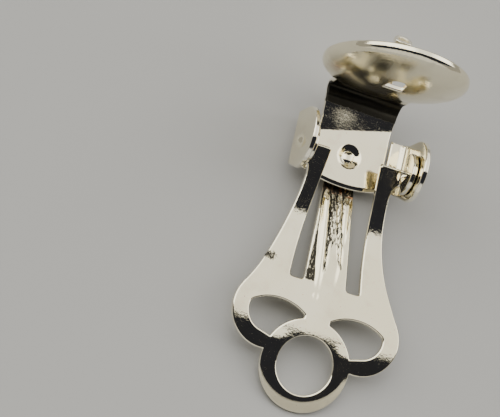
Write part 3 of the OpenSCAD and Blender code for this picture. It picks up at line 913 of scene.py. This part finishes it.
# Spots: a noise, and the values that they fade in between
DRIFT = ((260, 2), 0.3, 0.7)
SPECKS = ((5200, 2), 0.69, 0.76)
PATCHES = ((700, 4), 0.5, 0.68)
PITS = ((6500, 1), 0.66, 0.78)
THIN_PLATE = ((1700, 4), 0.38, 0.62)
RUB_FADE = (0.42, 0.66)
# The streak values shape the mask where near-black painted shade and painted dark reflection are mixed in
STREAK_FADE = (0.45, 0.56)
STREAK_START = 0.15
STREAK_SPREAD = 1.3
# Colours, and how much of each is mixed in
WARM_SILVER = (0.87, 0.785, 0.56)
TARNISH_BROWN = (0.42, 0.34, 0.26)
POLISHED = (0.99, 0.985, 0.97)
# Copper colour: real copper where the plate is thin, and painted shade at the top of the tongue under the
# plate's edge
COPPER_AND_SHADE_TINT = (0.52, 0.27, 0.15)
# Near black for painted shade and painted dark reflection
PAINTED_SHADE_DARK = (0.015, 0.014, 0.012)
DRIFT_SHARE = 0.55
PATCH_SHARE = 0.35
EDGE_SHARE = 0.3
# How much of the near-black painted shade is mixed in
PAINTED_SHADE_SHARE = 0.98
# Roughness added by rubbing, stains and streaks
WEAR_ROUGH = 0.12
STAIN_ROUGH = 0.22
STREAK_ROUGH = 0.3
# Heights of the bump
WAVE_H = 0.75
GRAIN_H = 0.3
WEAR_H = 0.05
PIT_H = -0.12
FROST_H = 0.16
STREAK_H = 1.4
BUMP_STRENGTH = 0.5
BUMP_DISTANCE = 0.00003


def silver_wear_group():
    """Bright silver plate: a faint warm drift, tarnish specks, fine rubbing marks and polished edges."""
    group, given, out = new_group(
        "silver wear",
        [("Silver", "NodeSocketColor"), ("Tarnish", "NodeSocketFloat"), ("Polish", "NodeSocketFloat"),
         ("Rubbing", "NodeSocketFloat")],
        [("Color", "NodeSocketColor"), ("Roughness", "NodeSocketFloat"), ("Height", "NodeSocketFloat")])
    place = node(group, "ShaderNodeTexCoord").outputs["Object"]
    drift = spots(group, place, DRIFT)
    specks = spots(group, place, SPECKS)
    patches = spots(group, place, PATCHES)
    stain = times(group, given["Tarnish"], larger(group, specks, times(group, patches, PATCH_SHARE)))
    edge = marked(group, "edge")
    color = tinted(group, times(group, drift, DRIFT_SHARE), given["Silver"], WARM_SILVER)
    color = tinted(group, stain, color, TARNISH_BROWN)
    color = tinted(group, times(group, edge, EDGE_SHARE), color, POLISHED)
    rubbed = speckle(group, place, *RUBBED)
    crossed = speckle(group, place, *CROSSED)
    rub = plus(group, times(group, rubbed, 0.5), times(group, crossed, 0.5))
    wear = times(group, ramp(group, rub, *RUB_FADE), given["Rubbing"])
    dulled = plus(group, times(group, wear, WEAR_ROUGH), times(group, stain, STAIN_ROUGH))
    rough = plus(group, given["Polish"], dulled)
    waves = times(group, speckle(group, place, *WAVES), WAVE_H)
    pits = times(group, spots(group, place, PITS), given["Tarnish"])
    grain = calc(group, "MULTIPLY_ADD", speckle(group, place, *GRAIN), GRAIN_H, waves)
    height = calc(group, "MULTIPLY_ADD", wear, WEAR_H, grain)
    height = calc(group, "MULTIPLY_ADD", pits, PIT_H, height)
    group.links.new(color, out["Color"])
    group.links.new(rough, out["Roughness"])
    group.links.new(height, out["Height"])
    return group


def shade_streaks_group():
    """Short streaks of painted shade and painted dark reflection along the length: a mask, and a bump that
    is hollow where they are dark.
    """
    group, given, out = new_group("painted shade streaks", [("Amount", "NodeSocketFloat")],
                                  [("Mask", "NodeSocketFloat"), ("Height", "NodeSocketFloat")])
    place = node(group, "ShaderNodeTexCoord").outputs["Object"]
    streaky = speckle(group, place, *STREAKY)
    off_middle = calc(group, "SUBTRACT", streaky, 0.5)
    grown = calc(group, "MULTIPLY_ADD", off_middle, STREAK_SPREAD, given["Amount"])
    mask = times(group, ramp(group, grown, *STREAK_FADE), ramp(group, given["Amount"], 0.0, STREAK_START))
    group.links.new(mask, out["Mask"])
    group.links.new(times(group, calc(group, "SUBTRACT", 1.0, streaky), given["Amount"]), out["Height"])
    return group


SILVER_WEAR = silver_wear_group()
SHADE_STREAKS = shade_streaks_group()


def plated(name, silver, tarnish, polish, rubbing, satin):
    """Silver plate over copper, which shows where it is marked and also stands for painted shade at the top
    of the tongue; marked ground is satin, or painted near black as shade and dark reflection in streaks.
    """
    material = bpy.data.materials.new(name)
    material.use_nodes = True
    tree = material.node_tree
    shader = tree.nodes["Principled BSDF"]
    shader.inputs["Metallic"].default_value = 1.0
    given = {"Silver": (*silver, 1), "Tarnish": tarnish, "Polish": polish, "Rubbing": rubbing}
    wear = node(tree, "ShaderNodeGroup", given, node_tree=SILVER_WEAR).outputs
    amount = {"Amount": marked(tree, "painted_shade_and_dark_patch")}
    streaks = node(tree, "ShaderNodeGroup", amount, node_tree=SHADE_STREAKS).outputs
    place = node(tree, "ShaderNodeTexCoord").outputs["Object"]
    # Copper where the plate is thin, and copper-tinted painted shade at the top of the tongue
    coppery = times(tree, marked(tree, "copper_and_shade"), spots(tree, place, THIN_PLATE))
    color = tinted(tree, coppery, wear["Color"], COPPER_AND_SHADE_TINT)
    # Painted shade and painted dark reflection: near black where the streak mask is
    color = tinted(tree, times(tree, streaks["Mask"], PAINTED_SHADE_SHARE), color, PAINTED_SHADE_DARK)
    frosted = marked(tree, "satin")
    frost = speckle(tree, place, *FROST)
    rough = plus(tree, wear["Roughness"], times(tree, frosted, satin))
    rough = plus(tree, rough, times(tree, streaks["Mask"], STREAK_ROUGH))
    height = plus(tree, wear["Height"], times(tree, times(tree, frost, frosted), FROST_H))
    height = plus(tree, height, times(tree, streaks["Height"], STREAK_H))
    relief = {"Height": height, "Strength": BUMP_STRENGTH, "Distance": BUMP_DISTANCE}
    bump = node(tree, "ShaderNodeBump", relief)
    tree.links.new(color, shader.inputs["Base Color"])
    tree.links.new(rough, shader.inputs["Roughness"])
    tree.links.new(bump.outputs[0], shader.inputs["Normal"])
    return material


# Where the plate is thin or the copper stands for shade, where it is satin, and where shade, dark
# reflection and a dark patch are painted; each takes points of a blank and the side of the sheet

RING_END_SATIN_TO = 0.2
# Wedge of painted dark reflection: x of its edges at the tongue's root, and how far they move for each
# millimetre up
WEDGE_RIGHT = (-0.68, -0.06)
WEDGE_RIGHT_TO = 3.3
WEDGE_LEFT = (-1.36, 0.095)
WEDGE_LINE_IN = 0.05
WEDGE_LINE_HALF = 0.07
# Painted dark reflection in streaks along the grooves: line, half width and its growth, start, length of
# the fade and amount
DARK_GROOVE_LINES = ((COLUMN_LINE, 0.13, 0.035, 0.5, 0.5, 0.59), (GROOVE_LINE, 0.08, 0, 1.0, 0.4, 1),
                  (SCORE_LINE, 0.05, 0, 1.2, 0.4, 0.72))
# Broad band of painted dark reflection in streaks up the tongue: its middle, half width and start
STREAKY_AT = 0.12
STREAKY_HALF = 0.62
STREAKY_FROM = 1.3
# Where the painted shadow under the plate's edge starts, and just before it the copper tint with painted
# shade
UNDER_PLATE = 10.85
COPPER_SHADE_FROM = 10.75
# How dark each mark is: the wedge and broad band of painted dark reflection, painted shadow under the
# plate, the dark patch, and painted shade in the bend
WEDGE_DARK, STREAKY_DARK, UNDER_PLATE_SHADOW, DARK_PATCH_LEVEL, BEND_DARK = 0.64, 0.48, 0.55, 0.62, 0.8
BEND_DARK_FROM = CUP_TO_BEND - 0.9
BEND_DARK_TO = PLATE_FROM + 0.5
SATIN_TO = RIM_FROM - 0.35
# Spots on a blank: where they are and how wide each way
# A dark patch on the left of the paddle
DARK_PATCH = ((-3.75, 5.85), (0.65, 0.5))
STAIN = ((-3.2, 0.6), (0.7, 0.9))
BLOTCH = ((-0.9, PLATE_FROM + 0.9), (0.8, 0.65))
ROOT_COPPER = ((0, PEG_ROOT), (0.75, 0.75))


def past(x, limit, soft):
    """0 before a limit and 1 past it, with half of a soft length to each side."""
    return smooth_step((x - limit) / soft + 0.5)


def bell(p, at, size):
    return np.exp(-((p[:, 0] - at[0]) / size[0]) ** 2 - ((p[:, 1] - at[1]) / size[1]) ** 2)


def ring_end_satin(p, side):
    """A crescent round the end of the ring, where it falls away."""
    crescent = fading_in(-disc(p, RING_END_AT, RING_END_R), -0.03, 0.1)
    return np.where(side > 0, crescent * fading_in(-p[:, 1], -RING_END_SATIN_TO, 0.6), 0)


def near_line(x, y, line, half, soft=0.05):
    return past(half, np.abs(from_line(x, y, line)), soft)


def tongue_shade_and_dark_patch(p, side):
    """Painted dark reflection in the grooves, in a wedge down the left edge that widens towards the root
    and in a broad band up the tongue; painted shadow under the plate's edge; and one dark patch.

    The wedge lies between a solid line on its right and the left edge, and is only speckled there.
    """
    x, y = p[:, 0], p[:, 1]
    up = y - TONGUE_ROOT
    inner = (np.abs(x) < tongue_outer(y)) & (y > TONGUE_ROOT - 0.3) & (side > 0)
    right = WEDGE_RIGHT[0] + WEDGE_RIGHT[1] * np.minimum(up, WEDGE_RIGHT_TO)
    left = WEDGE_LEFT[0] + WEDGE_LEFT[1] * up
    wedge = past(x, left, 0.06) * past(right, x, 0.05) * fading_in(up, -0.03, 0.1)
    line = past(WEDGE_LINE_HALF, np.abs(x - right + WEDGE_LINE_IN), 0.04) * fading_in(up, 0, 0.3)
    lines = [share * near_line(x, y, at, half + grows * up) * fading_in(up, start, over)
             for at, half, grows, start, over, share in DARK_GROOVE_LINES]
    streaky = fading_in(-np.abs(x - STREAKY_AT), -STREAKY_HALF, 0.2) * fading_in(up, STREAKY_FROM, 1.5)
    # Painted shadow under the rear edge of the plate
    plate_shadow = UNDER_PLATE_SHADOW * fading_in(y, UNDER_PLATE, 0.1)
    amount = np.maximum.reduce([WEDGE_DARK * wedge, line, *lines, STREAKY_DARK * streaky, plate_shadow])
    return np.where(inner, amount, DARK_PATCH_LEVEL * bell(p, *DARK_PATCH) * (side > 0))


def bend_painted_shade(p, side):
    """Painted shade and dark reflection in the hollow of the bend between neck and cup, and a little way up
    the cup's floor.
    """
    u, v = p[:, 0], p[:, 1]
    hollow = fading_in(v, BEND_DARK_FROM, 0.7) * fading_in(-v, -BEND_DARK_TO, 0.3)
    return np.where((side < 0) & (np.abs(u) < neck_half(v)), BEND_DARK * hollow, 0)


def tongue_copper_and_shade(p, side):
    """Copper tint with painted shade at the top of the tongue, under the edge of the plate."""
    x, y = p[:, 0], p[:, 1]
    band = fading_in(y, COPPER_SHADE_FROM, 0.12) * (np.abs(x) < tongue_outer(y))
    return np.where(side > 0, band, 0.2 * band)


def front_copper(p, side):
    """Round the root of the peg and the bends of its slot, and a stain on the left of the cup's back."""
    root = bell(p, *ROOT_COPPER)
    return np.where(side > 0, 0.5 * root, 0.25 * root + 0.6 * bell(p, *STAIN))


def cup_satin(p, side):
    """The back of the cup's floor, which the die leaves unpolished, and a duller blotch on the neck."""
    floor = 1 - fading_in(np.hypot(p[:, 0], p[:, 1]), SATIN_TO, 0.3)
    return np.where(side < 0, np.maximum(floor, 1.7 * bell(p, *BLOTCH)), 0)


# Pieces

# Grids over the blanks: lowest and highest corner, and step
PADDLE_GRID = ((-6.6, -3.1), (6.6, 14.6), 0.07)
FRONT_GRID = ((-7.6, -4.9), (7.6, 12.6), 0.08)

paddle_plate = plated("paddle silver plate", (0.965, 0.905, 0.69),
                      tarnish=0.45, polish=0.035, rubbing=0.55, satin=0.5)
front_plate = plated("front silver plate", (0.96, 0.905, 0.71),
                     tarnish=0.4, polish=0.045, rubbing=0.5, satin=0.1)
peg_plate = plated("peg silver plate", (0.96, 0.91, 0.74),
                   tarnish=0.25, polish=0.05, rubbing=0.4, satin=0.3)

# The paddle's marks paint dark reflection, a shadow under the plate and a dark patch, and copper with shade
# at the tongue's top
trefoil_clip = stamping("trefoil_clip", "clip", paddle_depth, paddle_place,
                        paddle_inner, paddle_outer, PADDLE_GRID, paddle_to_row, paddle_plate,
                        {"painted_shade_and_dark_patch": tongue_shade_and_dark_patch, "copper_and_shade": tongue_copper_and_shade, "satin": ring_end_satin})
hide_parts("clip_paddle")
# The front's marks paint shade in the hollow of the neck's bend, and real copper and satin
cup_and_bracket = stamping("cup_and_bracket", "front", front_depth, front_place,
                           front_outer, front_inner, FRONT_GRID, front_to_row, front_plate,
                           {"painted_shade_and_dark_patch": bend_painted_shade, "copper_and_shade": front_copper, "satin": cup_satin})
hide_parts("cup_frame")
rings, peg_share, peg_hollow = peg_rings()
peg_marks = {"copper_and_shade": 0.7 * np.exp(-(peg_share / 0.3) ** 2), "edge": np.clip(peg_share * 12 - 10.6, 0, 1),
             "satin": np.clip(peg_hollow, 0, 1), "painted_shade_and_dark_patch": 0 * peg_share}
loft("rolled_peg", rings, "front", cup_to_row, peg_plate, peg_marks)


# Floor, light and camera

FLOOR_NOISE = (60, 2)
FLOOR_DARK = (0.42, 0.42, 0.418)
FLOOR_LIGHT = (0.44, 0.44, 0.437)


def pale_floor(half=1.5):
    mesh = bpy.data.meshes.new("floor")
    corners = [(-half, -half, 0), (half, -half, 0), (half, half, 0), (-half, half, 0)]
    mesh.from_pydata(corners, [], [(0, 1, 2, 3)])
    material = bpy.data.materials.new("pale floor")
    material.use_nodes = True
    tree = material.node_tree
    shader = tree.nodes["Principled BSDF"]
    place = node(tree, "ShaderNodeTexCoord").outputs["Object"]
    color = tinted(tree, speckle(tree, place, *FLOOR_NOISE), FLOOR_DARK, FLOOR_LIGHT)
    tree.links.new(color, shader.inputs["Base Color"])
    shader.inputs["Roughness"].default_value = 0.85
    shader.inputs["Specular IOR Level"].default_value = 0.15
    mesh.materials.append(material)
    floor = bpy.data.objects.new("floor", mesh)
    bpy.context.scene.collection.objects.link(floor)


SKY_BRIGHT = 2.9
SKY_MIDDLE = 1.45
PANEL_MIDDLE = 0.3
SKY_DARK = 0.022
SKY_SIDE = 0.8
SKY_LOW = 0.35
SKY_COOL = (0.95, 1.0, 1.35)
SKY_WARM = (1.0, 0.98, 0.915)
# From where to where each part of the world fades in
FAR_FADE = (0.03, 0.065)
NEAR_FADE = (-0.62, -0.72)
LOW_FADE = (0.42, 0.3)
HIGH_FADE = (0.2, 0.4)
LAMP_FADE = (0.1, 0.4)
TINT_FADE = (0.03, 0.3)


def studio_light():
    """A white panel over the far half of the table, a dimmer one at the near side, and a low sky.

    All are parts of the world: a direction is on the far panel where its part along the paddle is above
    a limit. The far panel is lit from its two ends, so it is brighter away from its middle.
    """
    world = bpy.data.worlds.new("studio")
    bpy.context.scene.world = world
    world.use_nodes = True
    tree = world.node_tree
    place = node(tree, "ShaderNodeTexCoord").outputs["Generated"]
    along = node(tree, "ShaderNodeVectorMath", {0: place, 1: (0, cosd(PADDLE_TILT), sind(PADDLE_TILT))},
                 operation="DOT_PRODUCT").outputs["Value"]
    parts = node(tree, "ShaderNodeSeparateXYZ", {0: place}).outputs
    far = ramp(tree, along, *FAR_FADE)
    near_side = ramp(tree, along, *NEAR_FADE)
    low = ramp(tree, parts["Z"], *LOW_FADE)
    side = larger(tree, times(tree, low, SKY_LOW), times(tree, near_side, SKY_SIDE))
    off_middle = calc(tree, "ABSOLUTE", calc(tree, "SUBTRACT", parts["X"], PANEL_MIDDLE))
    lamps = ramp(tree, off_middle, *LAMP_FADE, SKY_MIDDLE, SKY_BRIGHT)
    high = larger(tree, times(tree, lamps, ramp(tree, parts["Z"], *HIGH_FADE)), SKY_LOW)
    level = larger(tree, larger(tree, times(tree, far, high), side), SKY_DARK)
    background = tree.nodes["Background"]
    tint = tinted(tree, ramp(tree, level, *TINT_FADE), SKY_COOL, SKY_WARM)
    tree.links.new(tint, background.inputs["Color"])
    tree.links.new(level, background.inputs["Strength"])


VIEW_DISTANCE = 280
VIEW_WIDTH = 30
SENSOR = 36
VIEW_RIGHT = np.array([0.910, 0.250, 0.329])
VIEW_UP = np.array([-0.285, 0.957, 0.062])
AIM = (-3.294, 9.426)


def camera_at_photo_angle():
    """Long lens, set by its right and up in the paddle's frame, and by where it aims from the hole."""
    right = unit(turned(VIEW_RIGHT, PADDLE_TILT))
    back = unit(np.cross(right, turned(VIEW_UP, PADDLE_TILT)))
    up = np.cross(back, right)
    aim = paddle_to_row(np.zeros(3)) + AIM[0] * right + AIM[1] * up
    data = bpy.data.cameras.new("camera")
    data.sensor_width = SENSOR
    data.lens = SENSOR * VIEW_DISTANCE / VIEW_WIDTH
    data.clip_start = 0.01
    camera = bpy.data.objects.new("camera", data)
    matrix = np.eye(4)
    matrix[:3, :3] = np.column_stack([right, up, back])
    matrix[:3, 3] = (aim + VIEW_DISTANCE * back) * MM
    camera.matrix_world = Matrix(matrix.tolist())
    bpy.context.scene.collection.objects.link(camera)
    bpy.context.scene.camera = camera


pale_floor()
studio_light()
camera_at_photo_angle()
